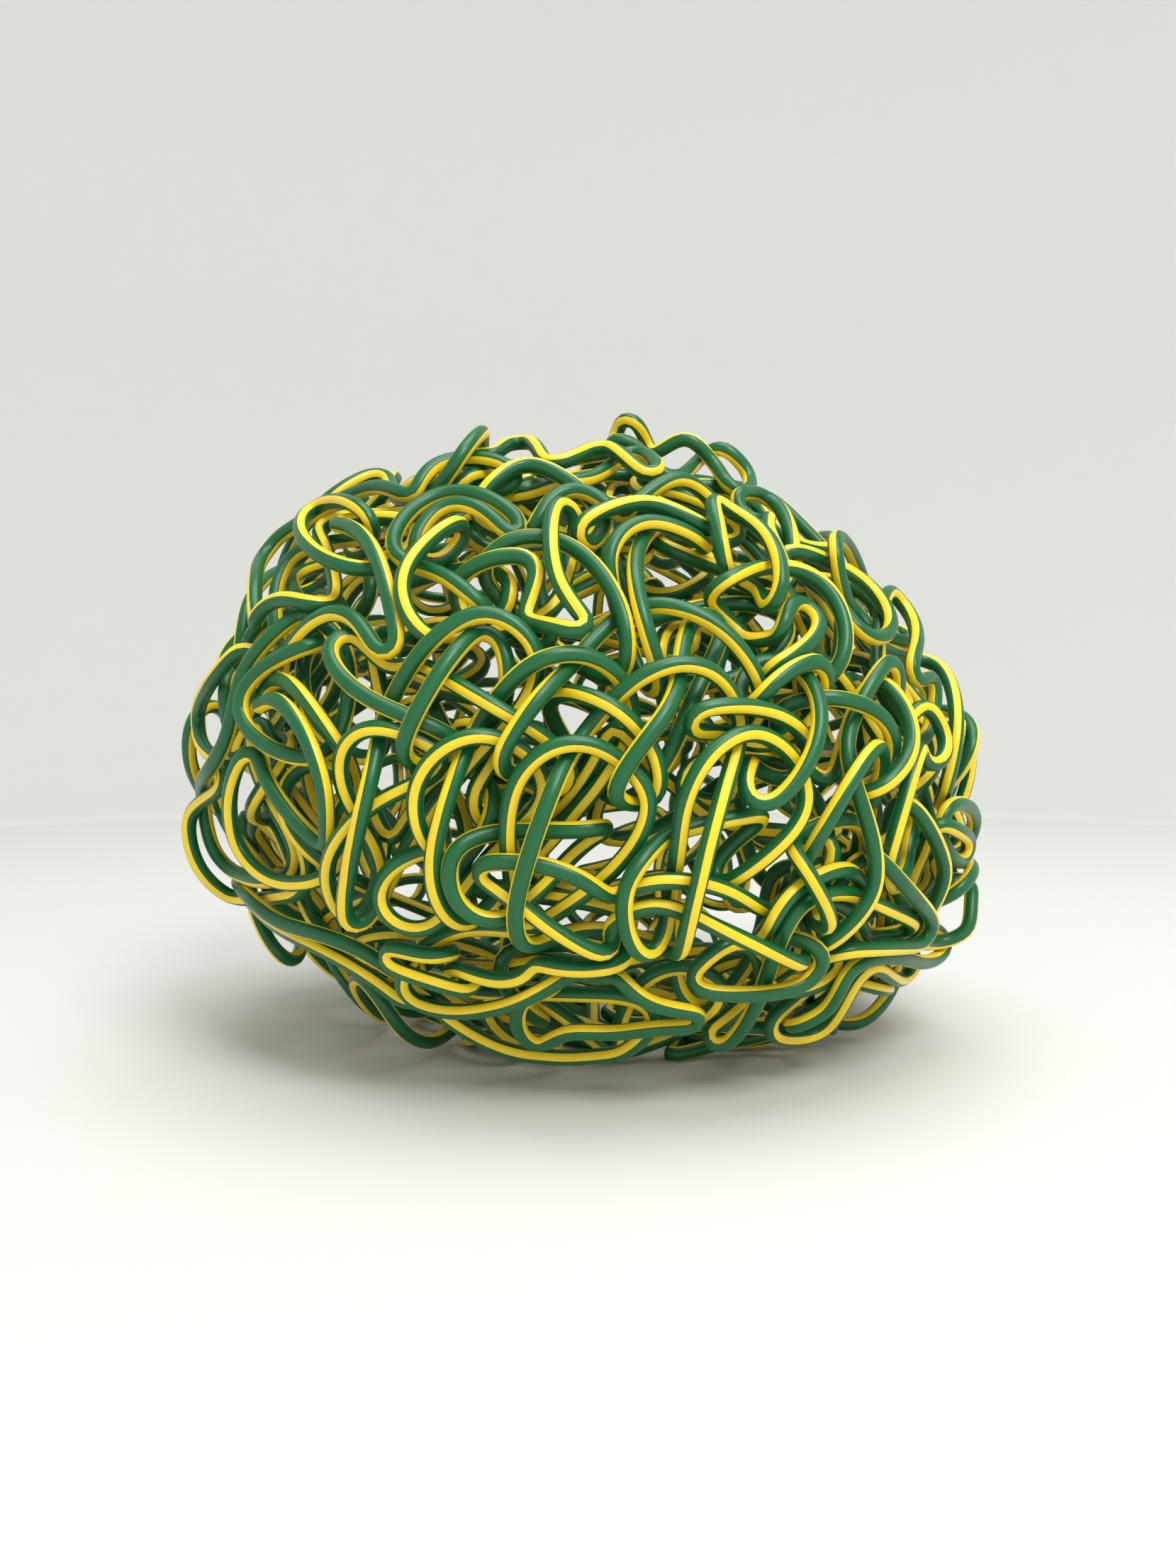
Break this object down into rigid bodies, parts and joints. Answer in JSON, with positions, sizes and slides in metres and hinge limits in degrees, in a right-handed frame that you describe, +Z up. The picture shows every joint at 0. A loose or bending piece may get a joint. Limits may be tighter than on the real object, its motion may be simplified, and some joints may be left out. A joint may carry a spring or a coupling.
{
  "type": "rubber band ball",
  "caption": "Hollow lumpy ball of looped two-colour round cord bands that weave over and under one another.",
  "frame": {"origin": "bottom centre of the bounding box, at floor level", "axes": "X to the right seen from the front, Y to the back, Z up"},
  "size_m": [0.2185, 0.2123, 0.1666],
  "materials": {
    "cord": "satin"
  },
  "bodies": {
    "root": {"band_01": "cord", "band_02": "cord", "band_03": "cord", "band_04": "cord", "band_05": "cord", "band_06": "cord", "band_07": "cord", "band_08": "cord", "band_09": "cord", "band_10": "cord", "band_11": "cord", "band_12": "cord", "band_13": "cord", "band_14": "cord", "band_15": "cord", "band_16": "cord", "band_17": "cord", "band_18": "cord", "band_19": "cord", "band_20": "cord", "band_21": "cord", "band_22": "cord", "band_23": "cord", "band_24": "cord", "band_25": "cord", "band_26": "cord", "band_27": "cord", "band_28": "cord", "band_29": "cord", "band_30": "cord", "band_31": "cord", "band_32": "cord", "band_33": "cord", "band_34": "cord", "band_35": "cord", "band_36": "cord", "band_37": "cord", "band_38": "cord", "band_39": "cord", "band_40": "cord", "band_41": "cord", "band_42": "cord", "band_43": "cord", "band_44": "cord", "band_45": "cord", "band_46": "cord", "band_47": "cord", "band_48": "cord", "band_49": "cord", "band_50": "cord", "band_51": "cord", "band_52": "cord", "band_53": "cord", "band_54": "cord", "band_55": "cord", "band_56": "cord", "band_57": "cord", "band_58": "cord", "band_59": "cord", "band_60": "cord"}
  },
  "joints": []
}
